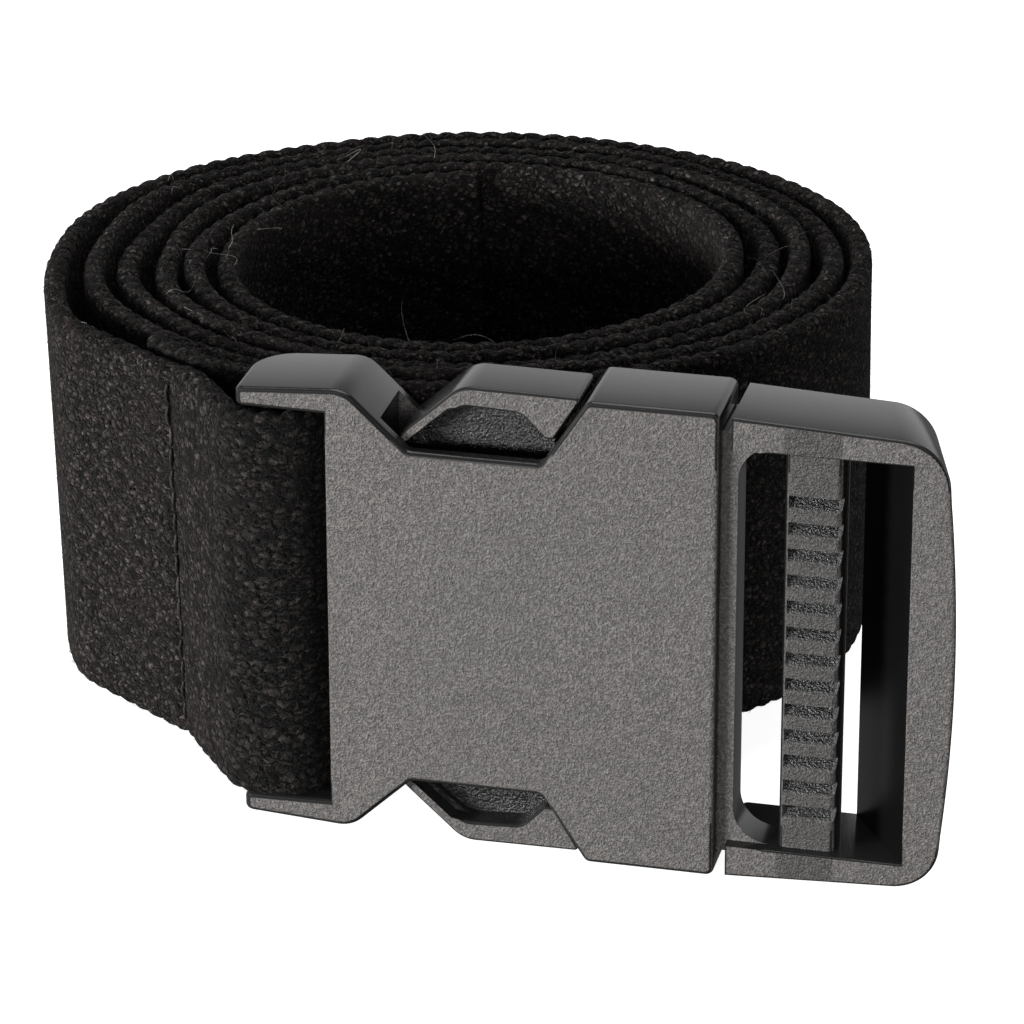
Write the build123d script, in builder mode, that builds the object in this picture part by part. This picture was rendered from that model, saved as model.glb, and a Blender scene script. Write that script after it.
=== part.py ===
"""Dive weight belt: 50 mm webbing coiled for storage, with a side-release buckle.

The frame stands the belt on the buckle's lower edge: +X runs along the buckle from
the sewn loop to the plug, +Y goes from the buckle's face into the coil, +Z is up.
"""

import os
from math import acos, atan2, cos, degrees, hypot, radians, sin, tan

from build123d import *

os.makedirs("parts", exist_ok=True)

# ---------------------------------------------------------------- frame
BUCKLE_X = -13.6  # edge of the socket's face beside the sewn loop
BUCKLE_Y = -51.75  # front face of the buckle
BUCKLE_Z = 30.7  # mid height of buckle and webbing
FACE = Plane((BUCKLE_X, BUCKLE_Y, BUCKLE_Z), x_dir=(1, 0, 0), z_dir=(0, -1, 0))
PLAN = Plane((BUCKLE_X, BUCKLE_Y, BUCKLE_Z))

# ---------------------------------------------------------------- driving sizes
WEB_WIDTH = 50.0
WEB_THICK = 2.6
PLY_GAP = 0.3

BODY_THICK = 12.2
PLATE_THICK = 1.7
CAVITY_DEPTH = 8.8
FACE_FILLET = 0.4  # crisp rounding round the front faces
BACK_FILLET = 0.7
RIM_FILLET = 0.25
MOUTH_HALF = 30.7
NOTCH_HALF = 22.1
LOOP_SLOT_HALF = 26.0
MOUTH_END = 48.4

BAR_RADIUS = 3.0
BAR_AT = (-7.9, 6.1)
LOOP_RADIUS = 6.2  # centre line of the webbing round the bar

ARM_WIDTH = 8.2
ARM_HINGE = (43.5, 19.0)
ARM_HINGE_RADIUS = 1.5

PLUG_START = 49.8
PLUG_SLOT_HALF = 26.3
PLUG_END = 77.43
PLUG_CORNER = 6.0
END_BAR_SLANT = 3.5
GRIP_TEETH = 13
GRIP_PITCH = 3.42
GRIP_START = 56.1
GRIP_WIDTH = 7.0
GRIP_FRONT = 1.5
TOOTH_DEPTH = 0.9
TOOTH_SLIT = 0.6
TOOTH_RAMP = 1.9

SEAM_HOLES = 17
SEAM_PITCH = 2.9
HOLE_RADIUS = 0.32
THREAD_RADIUS = 0.25


def polar(centre, radius, angle):
    """Point on a circle, angle in degrees."""
    return (
        centre[0] + radius * cos(radians(angle)),
        centre[1] + radius * sin(radians(angle)),
    )


# ---------------------------------------------------------------- webbing route
# The coil winds outwards anticlockwise from its free inner end. Each turn is four
# quarter arcs: left, front, right, back. The front and back lie tight, the sides loose.
TURNS = 5
SIDE_GROWTH = 2.03
TIGHT_GROWTH = 5.17
RADII = (31.305, 32.783, 32.321, 35.474)
GROWTH = (SIDE_GROWTH, TIGHT_GROWTH, SIDE_GROWTH, TIGHT_GROWTH)
INNER_JOIN = (-17.63, 79.97)
INNER_END_ANGLE = 101.0

inner_radius = RADII[3] - TIGHT_GROWTH
inner_centre = polar(INNER_JOIN, inner_radius, 135 + 180)

# The outermost layer leaves the coil at its front left, runs straight to the seam
# and there bends forward to the loop round the socket's bar.
LOOP_ENTRY = 217.5
RUN_ANGLE = 234.0  # outward normal of the straight run beside the seam
RUN_BEND = 14.0
FREE_RADIUS = 60.0  # where the outermost layer stands off the coil
SEAM_BEND = 8.0
SEAM_REACH = 12.6
TAIL_LENGTH = 9.0

entry = polar(BAR_AT, LOOP_RADIUS, LOOP_ENTRY)
seam_corner = polar(entry, SEAM_REACH, LOOP_ENTRY - 90)
half_turn = (RUN_ANGLE - LOOP_ENTRY) / 2
bend_reach = SEAM_BEND * tan(radians(half_turn))
bend_start = polar(seam_corner, bend_reach, RUN_ANGLE - 90)
bend_end = polar(seam_corner, bend_reach, LOOP_ENTRY + 90)
bend_centre = polar(bend_start, SEAM_BEND, RUN_ANGLE)

# The folded tail comes back off the bar and lies flat behind the run.
tail_corner = polar(seam_corner, WEB_THICK + PLY_GAP, RUN_ANGLE + 180)
tail_dx = tail_corner[0] - BAR_AT[0]
tail_dy = tail_corner[1] - BAR_AT[1]
tail_reach = hypot(tail_dx, tail_dy)
loop_exit = degrees(atan2(tail_dy, tail_dx)) - degrees(acos(LOOP_RADIUS / tail_reach))
tail_turn = loop_exit + 90 - (RUN_ANGLE - 90)
tail_bend = SEAM_BEND * tan(radians(tail_turn / 2))
tail_bend_start = polar(tail_corner, tail_bend, loop_exit - 90)
tail_bend_centre = polar(tail_bend_start, SEAM_BEND, loop_exit)
tail_bend_end = polar(tail_corner, tail_bend, RUN_ANGLE - 90)
tail_end = polar(tail_bend_end, TAIL_LENGTH, RUN_ANGLE - 90)

# The seam crosses both plies just beside the bend.
seam_at = polar(bend_start, 0.6, RUN_ANGLE - 90)
outer_face = polar(seam_at, WEB_THICK / 2, RUN_ANGLE)
tail_face = polar(seam_at, 1.5 * WEB_THICK + PLY_GAP, RUN_ANGLE + 180)


def face_plane(point, angle):
    """Plane on a webbing face, its x along the webbing's width, facing angle."""
    origin = PLAN.from_local_coords(Vector(*point, 0))
    return Plane(origin, x_dir=(0, 0, 1), z_dir=Vector(*polar((0, 0), 1, angle), 0))


# ---------------------------------------------------------------- webbing strap
with BuildPart() as webbing_strap:
    with BuildLine(PLAN) as route:
        CenterArc(inner_centre, inner_radius, INNER_END_ANGLE, 135 - INNER_END_ANGLE)
        join = INNER_JOIN
        for quarter in range(4 * TURNS):
            side = quarter % 4
            start_angle = 135 + 90 * side
            radius = RADII[side] + GROWTH[side] * (quarter // 4)
            centre = polar(join, radius, start_angle + 180)
            CenterArc(centre, radius, start_angle, 90)
            join = polar(centre, radius, start_angle + 90)
        last_radius = RADII[0] + SIDE_GROWTH * TURNS
        last_centre = polar(join, last_radius, 135 + 180)
        CenterArc(last_centre, last_radius, 135, 45)
        widest = polar(last_centre, last_radius, 180)
        free_centre = polar(widest, FREE_RADIUS, 0)
        run_normal = polar((0, 0), 1, RUN_ANGLE)
        run_offset = run_normal[0] * (seam_corner[0] - free_centre[0])
        run_offset += run_normal[1] * (seam_corner[1] - free_centre[1])
        run_turn = degrees(acos((run_offset - RUN_BEND) / (FREE_RADIUS - RUN_BEND)))
        leave_angle = RUN_ANGLE - run_turn
        CenterArc(free_centre, FREE_RADIUS, 180, leave_angle - 180)
        run_centre = polar(free_centre, FREE_RADIUS - RUN_BEND, leave_angle)
        CenterArc(run_centre, RUN_BEND, leave_angle, run_turn)
        Line(polar(run_centre, RUN_BEND, RUN_ANGLE), bend_start)
        CenterArc(bend_centre, SEAM_BEND, RUN_ANGLE + 180, LOOP_ENTRY - RUN_ANGLE)
        Line(bend_end, entry)
        CenterArc(BAR_AT, LOOP_RADIUS, LOOP_ENTRY, 360 - LOOP_ENTRY + loop_exit)
        Line(polar(BAR_AT, LOOP_RADIUS, loop_exit), tail_bend_start)
        CenterArc(tail_bend_centre, SEAM_BEND, loop_exit + 180, -tail_turn)
        Line(tail_bend_end, tail_end)
    with BuildSketch(Plane(route.line @ 0, x_dir=(0, 0, 1), z_dir=route.line % 0)):
        Rectangle(WEB_WIDTH, WEB_THICK)
    sweep()
    # needle holes through both plies
    with BuildSketch(face_plane(outer_face, RUN_ANGLE).offset(0.4)):
        with GridLocations(SEAM_PITCH, 0, SEAM_HOLES, 1):
            Circle(HOLE_RADIUS)
    extrude(amount=-(2 * WEB_THICK + PLY_GAP + 0.8), mode=Mode.SUBTRACT)
webbing_strap.part.label = "webbing_strap"
export_step(webbing_strap.part, "parts/webbing_strap.step")
web_length = sum(edge.length for edge in route.line.edges())
print("webbing length", round(web_length), "mm, volume", round(webbing_strap.part.volume))

# ---------------------------------------------------------------- seam threads
# One row of lockstitch: each thread lies along its own face of the folded webbing and
# dips through the needle holes to meet the other between the plies.


def stitch_row(label, point, angle):
    """Thread along a webbing face with a leg down each needle hole."""
    on_face = face_plane(point, angle)
    with BuildPart() as row:
        with BuildSketch(on_face.offset(THREAD_RADIUS + 0.02)):
            Rectangle(SEAM_PITCH * (SEAM_HOLES - 1) + 2 * THREAD_RADIUS, 2 * THREAD_RADIUS)
        extrude(amount=THREAD_RADIUS, both=True)
        fillet(row.edges().filter_by(Axis.Z), 0.2)
        with BuildSketch(on_face.offset(THREAD_RADIUS)):
            with GridLocations(SEAM_PITCH, 0, SEAM_HOLES, 1):
                Circle(THREAD_RADIUS - 0.01)
        extrude(amount=-(THREAD_RADIUS + WEB_THICK))
    row.part.label = label
    return row


seam_needle_thread = stitch_row("seam_needle_thread", outer_face, RUN_ANGLE)
export_step(seam_needle_thread.part, "parts/seam_needle_thread.step")
seam_bobbin_thread = stitch_row("seam_bobbin_thread", tail_face, RUN_ANGLE + 180)
export_step(seam_bobbin_thread.part, "parts/seam_bobbin_thread.step")

# ---------------------------------------------------------------- buckle socket
# Upper half of the face outline, from the loop slot's arm round to the mouth.
ARM_END = -11.2
SHOULDER = (2.6, 29.4)
NOTCH_LEFT = 10.3
NOTCH_RIGHT = 26.8
MOUTH_LEFT = 32.4
MOUTH_WALL = 2.5
CAVITY_LEFT = 6.6

with BuildPart() as buckle_socket:
    with BuildSketch(FACE):
        with BuildLine():
            Polyline(
                (0, 0),
                (0, LOOP_SLOT_HALF),
                (ARM_END, LOOP_SLOT_HALF + 0.15),
                (ARM_END, 28.5),
                SHOULDER,
                (NOTCH_LEFT, NOTCH_HALF),
                (NOTCH_RIGHT, NOTCH_HALF),
                (MOUTH_LEFT, MOUTH_HALF),
                (MOUTH_END, MOUTH_HALF),
                (MOUTH_END, 0),
                close=True,
            )
        make_face()
        mirror(about=Plane.XZ)
    extrude(amount=-BODY_THICK)
    corners = buckle_socket.edges().filter_by(Axis.Y)
    shoulders = [e for e in corners if abs(e.center().X - BUCKLE_X - SHOULDER[0]) < 0.1]
    fillet(shoulders, 4.0)
    corners = buckle_socket.edges().filter_by(Axis.Y)
    notch = [e for e in corners if 10 < e.center().X - BUCKLE_X < 27]
    fillet(notch, 1.2)
    corners = buckle_socket.edges().filter_by(Axis.Y)
    mouth = [e for e in corners if e.center().X - BUCKLE_X > 30]
    fillet(mouth, 1.0)
    uprights = buckle_socket.edges().filter_by(Axis.Z)
    arm_ends = [e for e in uprights if e.center().X - BUCKLE_X < ARM_END + 0.1]
    fillet([e for e in arm_ends if e.center().Y > BUCKLE_Y + 6], 5.0)
    uprights = buckle_socket.edges().filter_by(Axis.Z)
    arm_ends = [e for e in uprights if e.center().X - BUCKLE_X < ARM_END + 0.1]
    fillet(arm_ends, 1.2)
    back_edges = buckle_socket.faces().sort_by(Axis.Y)[-1].edges()
    fillet(back_edges, BACK_FILLET)
    face_edges = buckle_socket.faces().sort_by(Axis.Y)[0].edges()
    fillet(face_edges, FACE_FILLET)
    # cavity between the two plates, open at both notches and at the mouth
    with BuildSketch(FACE.offset(-PLATE_THICK)):
        with BuildLine():
            Polyline(
                (CAVITY_LEFT, 0),
                (CAVITY_LEFT, LOOP_SLOT_HALF),
                (NOTCH_LEFT + 1, MOUTH_HALF + 2),
                (MOUTH_LEFT + 1.3, MOUTH_HALF + 2),
                (MOUTH_LEFT - 1.63, MOUTH_HALF - MOUTH_WALL),
                (MOUTH_END + 1, MOUTH_HALF - MOUTH_WALL),
                (MOUTH_END + 1, 0),
                close=True,
            )
        make_face()
        mirror(about=Plane.XZ)
    extrude(amount=-CAVITY_DEPTH, mode=Mode.SUBTRACT)
    # round bar that the webbing loop is sewn round, between the two arms
    with BuildSketch(PLAN.offset(-LOOP_SLOT_HALF - 1.2)):
        with Locations(BAR_AT):
            Circle(BAR_RADIUS)
    extrude(amount=2 * LOOP_SLOT_HALF + 2.4)
buckle_socket.part.label = "buckle_socket"
export_step(buckle_socket.part, "parts/buckle_socket.step")

# ---------------------------------------------------------------- buckle plug
RAIL_LEFT = 30.4
RAIL_RIGHT = 29.2
SLOT_LEFT = 50.4
SLOT_RIGHT = 71.7
SLOT_SLANT = 7.7
BRIDGE_FRONT = 1.8
BRIDGE_BACK = 5.4
ROOT_LEFT = ARM_HINGE[0] + ARM_HINGE_RADIUS + 0.3
ROOT_RIGHT = SLOT_LEFT - 1.4


RAIL_TAPER = (RAIL_LEFT - RAIL_RIGHT) / (PLUG_END - 1.6 - PLUG_START)
OVERRUN = 12.0  # extra length at the mouth, cut off square after the lean is made

with BuildPart() as buckle_plug:
    # the whole frame leans back, so its bowed end bar slants towards the socket
    with BuildSketch(FACE) as frame_face:
        with BuildLine():
            Polyline(
                (PLUG_END - 1.1, -22.0),
                (PLUG_END - 1.6, -RAIL_RIGHT),
                (PLUG_START - OVERRUN, -RAIL_LEFT - RAIL_TAPER * OVERRUN),
                (PLUG_START - OVERRUN, RAIL_LEFT + RAIL_TAPER * OVERRUN),
                (PLUG_END - 1.6, RAIL_RIGHT),
                (PLUG_END - 1.1, 22.0),
            )
            ThreePointArc((PLUG_END - 1.1, 22.0), (PLUG_END, 0), (PLUG_END - 1.1, -22.0))
        make_face()
        fillet(frame_face.vertices().sort_by(Axis.X)[-4:-2], PLUG_CORNER)
    lean = Vector(-END_BAR_SLANT, BODY_THICK, 0)
    extrude(amount=lean.length, dir=lean)
    plug_start = PLAN.from_local_coords(Vector(PLUG_START, 0, 0))
    split(bisect_by=Plane(plug_start, z_dir=(1, 0, 0)), keep=Keep.TOP)
    fillet(buckle_plug.faces().sort_by(Axis.Y)[-1].edges(), BACK_FILLET)
    fillet(buckle_plug.faces().sort_by(Axis.Y)[0].edges(), FACE_FILLET)
    # strap opening, with a leaning wall under the end bar
    with BuildSketch(FACE) as opening:
        with Locations(((SLOT_LEFT + SLOT_RIGHT - SLOT_SLANT) / 2, 0)):
            Rectangle(SLOT_RIGHT - SLOT_SLANT - SLOT_LEFT, 2 * PLUG_SLOT_HALF)
        fillet(opening.vertices().sort_by(Axis.X)[:2], 4.5)
    extrude(amount=-BODY_THICK, mode=Mode.SUBTRACT)
    with BuildSketch(FACE):
        with Locations((SLOT_RIGHT - 6, 0)):
            Rectangle(12, 2 * PLUG_SLOT_HALF)
    lean = Vector(-SLOT_SLANT, BODY_THICK, 0)
    extrude(amount=lean.length, dir=lean, mode=Mode.SUBTRACT)
    # the opening's edges are eased where the strap runs over them
    rim = buckle_plug.faces().sort_by(Axis.Y)[0].inner_wires()[0].edges()
    fillet(rim, RIM_FILLET)
    # the bridge beside the mouth is recessed behind the rails, more so at the back
    for depth, recess in ((0, BRIDGE_FRONT), (BODY_THICK - BRIDGE_BACK, BRIDGE_BACK)):
        with BuildSketch(FACE.offset(-depth)):
            Rectangle(2 * SLOT_LEFT + 9, 2 * PLUG_SLOT_HALF)
        extrude(amount=-recess, mode=Mode.SUBTRACT)
    with BuildSketch(FACE.offset(-BRIDGE_FRONT)):
        with Locations((SLOT_LEFT - 0.75, 0)):
            Rectangle(1.5, 2 * PLUG_SLOT_HALF + 3)
    extrude(amount=-(BODY_THICK - BRIDGE_FRONT - BRIDGE_BACK))
    # root block inside the mouth, and the guide tongue down the middle
    with BuildSketch(FACE.offset(-PLATE_THICK - 0.3)):
        with Locations(((ROOT_LEFT + ROOT_RIGHT) / 2, 0)):
            Rectangle(ROOT_RIGHT - ROOT_LEFT, 2 * (MOUTH_HALF - MOUTH_WALL - 0.3))
    extrude(amount=-(CAVITY_DEPTH - 0.6))
    with BuildSketch(FACE.offset(-PLATE_THICK - 1.2)) as tongue:
        with Locations((ROOT_LEFT - 15, 0)):
            Rectangle(34, 11)
        fillet(tongue.vertices().sort_by(Axis.X)[:2], 3.0)
    extrude(amount=-(CAVITY_DEPTH - 2.4))
    # grip bar across the opening, with teeth cut in its front
    with BuildSketch(PLAN.offset(-PLUG_SLOT_HALF - 0.5)) as bar:
        with Locations((GRIP_START + GRIP_WIDTH / 2, GRIP_FRONT + 3.4)):
            Rectangle(GRIP_WIDTH, 6.8)
        fillet(bar.vertices().sort_by(Axis.Y)[:2], 0.8)
        fillet(bar.vertices().sort_by(Axis.Y)[-2:], 2.4)
    extrude(amount=2 * PLUG_SLOT_HALF + 1)
    # each tooth: a flat top with a sharp lower edge, then a ramp out to the next flat
    tooth_side = Plane(
        PLAN.from_local_coords(Vector(GRIP_START + 0.5, GRIP_FRONT, 0)),
        x_dir=(0, 0, 1),
        z_dir=(1, 0, 0),
    )
    with BuildSketch(tooth_side):
        with GridLocations(GRIP_PITCH, 0, GRIP_TEETH, 1):
            Polygon(
                (0, 1),
                (0, -TOOTH_DEPTH),
                (-TOOTH_SLIT, -TOOTH_DEPTH),
                (-TOOTH_RAMP, 0),
                (-TOOTH_RAMP, 1),
                align=None,
            )
    extrude(amount=GRIP_WIDTH, mode=Mode.SUBTRACT)
buckle_plug.part.label = "buckle_plug"
export_step(buckle_plug.part, "parts/buckle_plug.step")

# ---------------------------------------------------------------- release arms
# Each arm is a spring beam that folds back at the nose into the button, which ends in
# the latch wall behind the mouth's side.
ARM_FRONT = (BODY_THICK - ARM_WIDTH) / 2
ARM_WEB = 1.4  # thin wall that closes the fold between the beam and the button
BEAM_INSET = 2.4  # the beam and the folded nose stand back from the button's faces


def release_arm(label, side):
    """Arm on the +Z side (side 1) or the -Z side (side -1) of the plug."""
    hinge_x, hinge_z = ARM_HINGE
    with BuildPart() as arm:
        with BuildSketch(FACE.offset(-ARM_FRONT)) as profile:
            with BuildLine():
                FilletPolyline(
                    (hinge_x, (hinge_z - ARM_HINGE_RADIUS) * side),
                    (12.0, 17.3 * side),
                    (8.4, 21.0 * side),
                    (9.0, 23.7 * side),
                    (16.4, 30.45 * side),
                    (31.4, 30.3 * side),
                    (27.9, 24.6 * side),
                    (26.8, 24.6 * side),
                    (23.9, 27.6 * side),
                    (16.6, 27.9 * side),
                    (11.6, 23.9 * side),
                    (12.0, 20.5 * side),
                    (hinge_x, (hinge_z + ARM_HINGE_RADIUS) * side),
                    radius=[2.0, 1.2, 1.2, 4.0, 0.5, 0.3, 0.4, 2.5, 3.0, 0.8, 0.8],
                )
                Line(
                    (hinge_x, (hinge_z + ARM_HINGE_RADIUS) * side),
                    (hinge_x, (hinge_z - ARM_HINGE_RADIUS) * side),
                )
            make_face()
            with Locations((hinge_x, hinge_z * side)):
                Circle(ARM_HINGE_RADIUS)
        extrude(amount=-ARM_WIDTH)
        for depth in (ARM_FRONT, ARM_FRONT + ARM_WIDTH - BEAM_INSET):
            with BuildSketch(FACE.offset(-depth)):
                with BuildLine():
                    Polyline(
                        (5.0, 14.0 * side),
                        (5.0, 21.6 * side),
                        (8.9, 22.1 * side),
                        (14.9, 27.5 * side),
                        (16.6, 27.8 * side),
                        (16.6, 22.6 * side),
                        (41.0, 22.6 * side),
                        (41.0, 14.0 * side),
                        close=True,
                    )
                make_face()
            extrude(amount=-BEAM_INSET, mode=Mode.SUBTRACT)
        with BuildSketch(FACE.offset(-(BODY_THICK - ARM_WEB) / 2)):
            with BuildLine():
                Polyline(
                    (12.5, 19.0 * side),
                    (11.0, 23.0 * side),
                    (16.6, 28.4 * side),
                    (25.4, 28.3 * side),
                    (27.3, 25.0 * side),
                    (27.3, 19.0 * side),
                    close=True,
                )
            make_face()
        extrude(amount=-ARM_WEB)
        button = arm.faces().filter_by(Axis.Z, tolerance=3).sort_by(Axis.Z)
        crown = button[-1] if side > 0 else button[0]
        long_edges = crown.edges().filter_by(Axis.X, tolerance=3)
        fillet(long_edges, 0.4)
    arm.part.label = label
    return arm


upper_release_arm = release_arm("upper_release_arm", 1)
export_step(upper_release_arm.part, "parts/upper_release_arm.step")
lower_release_arm = release_arm("lower_release_arm", -1)
export_step(lower_release_arm.part, "parts/lower_release_arm.step")

pieces = (
    webbing_strap,
    seam_needle_thread,
    seam_bobbin_thread,
    buckle_socket,
    buckle_plug,
    upper_release_arm,
    lower_release_arm,
)
for piece in pieces:
    box = piece.part.bounding_box()
    print(piece.part.label, len(piece.solids()), box.min, box.max, round(piece.part.volume))
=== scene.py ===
"""Dive weight belt: woven webbing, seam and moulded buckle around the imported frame."""
import math

import bpy
import numpy as np
from mathutils import Matrix, Vector


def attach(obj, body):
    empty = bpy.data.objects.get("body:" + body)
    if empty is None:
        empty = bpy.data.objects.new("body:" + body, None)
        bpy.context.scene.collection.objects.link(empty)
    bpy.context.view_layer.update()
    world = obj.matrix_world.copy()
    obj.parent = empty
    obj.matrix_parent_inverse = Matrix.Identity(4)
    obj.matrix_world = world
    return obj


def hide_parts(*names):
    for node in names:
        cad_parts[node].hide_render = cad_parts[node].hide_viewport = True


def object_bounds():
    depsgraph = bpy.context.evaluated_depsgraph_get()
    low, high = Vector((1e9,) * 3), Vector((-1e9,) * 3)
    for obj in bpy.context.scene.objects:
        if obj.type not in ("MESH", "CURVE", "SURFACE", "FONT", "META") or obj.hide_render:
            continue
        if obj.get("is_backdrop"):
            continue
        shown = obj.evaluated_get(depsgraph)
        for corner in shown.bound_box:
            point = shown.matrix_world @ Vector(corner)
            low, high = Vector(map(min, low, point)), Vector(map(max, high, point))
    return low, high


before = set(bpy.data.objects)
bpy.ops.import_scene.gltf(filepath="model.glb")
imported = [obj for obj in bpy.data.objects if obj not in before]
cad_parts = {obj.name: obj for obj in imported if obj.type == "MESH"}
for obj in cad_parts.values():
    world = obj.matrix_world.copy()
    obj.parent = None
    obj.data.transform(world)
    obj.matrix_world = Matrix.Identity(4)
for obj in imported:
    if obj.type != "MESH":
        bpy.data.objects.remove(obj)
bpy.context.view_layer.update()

MM = 0.001
rng = np.random.default_rng(7)

# ------------------------------------------------------------------ sizes, in millimetres
# The route lies in the buckle's plan: x from the loop slot's edge, y from its front face.
BUCKLE = np.array([-13.6, -51.75, 30.7])
WEB_HALF = 25.0
WEB_THICK = 2.6
PLY_GAP = 0.3
BAR_AT = (-7.9, 6.1)
LOOP_RADIUS = 6.2
TURNS = 5
RADII = (31.305, 32.783, 32.321, 35.474)
GROWTH = (2.03, 5.17, 2.03, 5.17)
INNER_JOIN = (-17.63, 79.97)
INNER_END_ANGLE = 101.0
LOOP_ENTRY = 217.5
RUN_ANGLE = 234.0
RUN_BEND = 14.0
FREE_RADIUS = 60.0
SEAM_BEND = 8.0
SEAM_REACH = 12.6
TAIL_LENGTH = 9.0
SEAM_SETBACK = 0.6  # from the bend beside the loop to the row of stitches
SEAM_HOLES = 17
SEAM_PITCH = 2.9
BUCKLE_MID = 6.1  # half the buckle's thickness
GRIP_CENTRE = 59.6
SLOT_HALF = 26.3  # half the height of the plug's strap slots
ROUTE_STEP = 0.5

# ------------------------------------------------------------------ webbing route


def polar(centre, radius, angle):
    a = math.radians(angle)
    return (centre[0] + radius * math.cos(a), centre[1] + radius * math.sin(a))


def route_segments():
    """The centre line as ("arc", centre, radius, start, sweep) and ("line", from, to)."""
    segments = []
    radius = RADII[3] - GROWTH[3]
    centre = polar(INNER_JOIN, radius, 315)
    segments.append(("arc", centre, radius, INNER_END_ANGLE, 135 - INNER_END_ANGLE))
    join = INNER_JOIN
    for quarter in range(4 * TURNS):
        side = quarter % 4
        start = 135 + 90 * side
        radius = RADII[side] + GROWTH[side] * (quarter // 4)
        centre = polar(join, radius, start + 180)
        segments.append(("arc", centre, radius, start, 90))
        join = polar(centre, radius, start + 90)
    radius = RADII[0] + GROWTH[0] * TURNS
    centre = polar(join, radius, 315)
    segments.append(("arc", centre, radius, 135, 45))
    widest = polar(centre, radius, 180)
    free_centre = polar(widest, FREE_RADIUS, 0)
    entry = polar(BAR_AT, LOOP_RADIUS, LOOP_ENTRY)
    corner = polar(entry, SEAM_REACH, LOOP_ENTRY - 90)
    normal = polar((0, 0), 1, RUN_ANGLE)
    offset = normal[0] * (corner[0] - free_centre[0])
    offset += normal[1] * (corner[1] - free_centre[1])
    turn = math.degrees(math.acos((offset - RUN_BEND) / (FREE_RADIUS - RUN_BEND)))
    leave = RUN_ANGLE - turn
    segments.append(("arc", free_centre, FREE_RADIUS, 180, leave - 180))
    run_centre = polar(free_centre, FREE_RADIUS - RUN_BEND, leave)
    segments.append(("arc", run_centre, RUN_BEND, leave, turn))
    half = (RUN_ANGLE - LOOP_ENTRY) / 2
    reach = SEAM_BEND * math.tan(math.radians(half))
    bend_start = polar(corner, reach, RUN_ANGLE - 90)
    bend_end = polar(corner, reach, LOOP_ENTRY + 90)
    bend_centre = polar(bend_start, SEAM_BEND, RUN_ANGLE)
    segments.append(("line", polar(run_centre, RUN_BEND, RUN_ANGLE), bend_start))
    segments.append(
        ("arc", bend_centre, SEAM_BEND, RUN_ANGLE + 180, LOOP_ENTRY - RUN_ANGLE)
    )
    segments.append(("line", bend_end, entry))
    tail = polar(corner, WEB_THICK + PLY_GAP, RUN_ANGLE + 180)
    dx, dy = tail[0] - BAR_AT[0], tail[1] - BAR_AT[1]
    out = math.degrees(math.atan2(dy, dx))
    out -= math.degrees(math.acos(LOOP_RADIUS / math.hypot(dx, dy)))
    segments.append(("arc", BAR_AT, LOOP_RADIUS, LOOP_ENTRY, 360 - LOOP_ENTRY + out))
    tail_turn = out + 90 - (RUN_ANGLE - 90)
    tail_reach = SEAM_BEND * math.tan(math.radians(tail_turn / 2))
    tail_start = polar(tail, tail_reach, out - 90)
    tail_centre = polar(tail_start, SEAM_BEND, out)
    tail_end = polar(tail, tail_reach, RUN_ANGLE - 90)
    segments.append(("line", polar(BAR_AT, LOOP_RADIUS, out), tail_start))
    segments.append(("arc", tail_centre, SEAM_BEND, out + 180, -tail_turn))
    segments.append(("line", tail_end, polar(tail_end, TAIL_LENGTH, RUN_ANGLE - 90)))
    seam = polar(bend_start, SEAM_SETBACK, RUN_ANGLE - 90)
    return segments, seam


def segment_length(segment):
    if segment[0] == "line":
        return math.dist(segment[1], segment[2])
    return segment[2] * math.radians(abs(segment[4]))


def sample_route(segments, step):
    """Points, outward normals and distances along the route every step millimetres."""
    total = sum(segment_length(s) for s in segments)
    count = int(round(total / step)) + 1
    at = np.linspace(0, total, count)
    points = np.zeros((count, 2))
    travel = np.zeros((count, 2))
    begin = 0.0
    for segment in segments:
        length = segment_length(segment)
        mine = (at >= begin - 1e-9) & (at <= begin + length + 1e-9)
        along = np.clip((at[mine] - begin) / length, 0, 1)
        if segment[0] == "line":
            a, b = np.array(segment[1]), np.array(segment[2])
            points[mine] = a + (b - a) * along[:, None]
            travel[mine] = (b - a) / length
        else:
            _, centre, radius, start, sweep = segment
            angle = np.radians(start + sweep * along)
            points[mine] = np.array(centre) + radius * np.stack(
                [np.cos(angle), np.sin(angle)], 1
            )
            turn = math.copysign(1, sweep)
            travel[mine] = turn * np.stack([-np.sin(angle), np.cos(angle)], 1)
        begin += length
    outward = np.stack([travel[:, 1], -travel[:, 0]], 1)
    return at, points, outward


def wander(at, wavelengths, seed):
    """Smooth repeatable noise of about unit size along a distance."""
    local = np.random.default_rng(seed)
    total = np.zeros_like(at)
    for wavelength in wavelengths:
        total += np.sin(2 * math.pi * (at / wavelength + local.random()))
    return total / len(wavelengths) ** 0.5


def smoothstep(x, low, high):
    """0 below low, 1 above high and an even curve between."""
    t = np.clip((x - low) / (high - low), 0, 1)
    return t * t * (3 - 2 * t)


segments, seam_point = route_segments()
at, centre_line, outward = sample_route(segments, ROUTE_STEP)
AFTER_ENTRY = 4  # the loop's arc, the line after it and the two segments of the tail
loop_at = sum(segment_length(s) for s in segments[:-AFTER_ENTRY])
from_seam = np.linalg.norm(centre_line - np.array(seam_point), axis=1)
seam_index = int(np.argmin(np.where(at > at[-1] * 0.9, from_seam, np.inf)))
seam_at = at[seam_index]


# ------------------------------------------------------------------ helpers
def to_frame(points_mm):
    """From millimetres in the buckle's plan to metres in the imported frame."""
    return (np.asarray(points_mm) + BUCKLE) * MM


def place(name, data):
    """A new object of the scene."""
    obj = bpy.data.objects.new(name, data)
    bpy.context.scene.collection.objects.link(obj)
    return obj


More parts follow.
